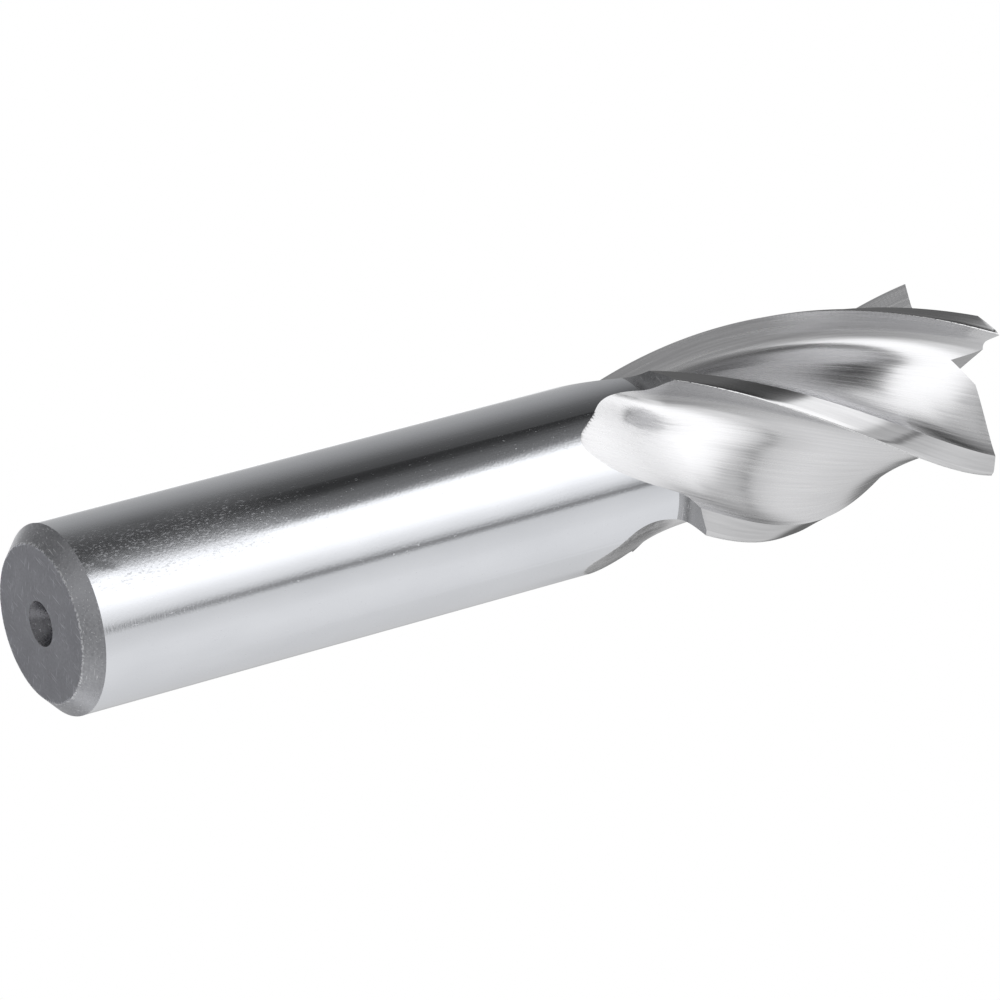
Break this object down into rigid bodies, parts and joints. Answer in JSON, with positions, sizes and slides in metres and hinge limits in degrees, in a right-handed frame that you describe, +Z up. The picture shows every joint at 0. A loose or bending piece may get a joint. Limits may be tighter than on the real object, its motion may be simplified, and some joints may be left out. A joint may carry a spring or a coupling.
{
  "type": "end mill",
  "caption": "Straight-shank end mill of ground tool steel with helical flutes, standing on its shank end with the teeth up.",
  "frame": {"origin": "centre of the flat end of the shank, which is the bottom centre of the part", "axes": "+Z runs up the tool's axis from the shank to the teeth, and +X points at the corner of the first tooth"},
  "size_m": [0.019, 0.019, 0.092],
  "materials": {
    "tool_steel": "ground and polished high-speed tool steel, bright on the shank and finely lined in the flutes"
  },
  "bodies": {
    "root": {"end_mill": "tool_steel"}
  },
  "joints": []
}
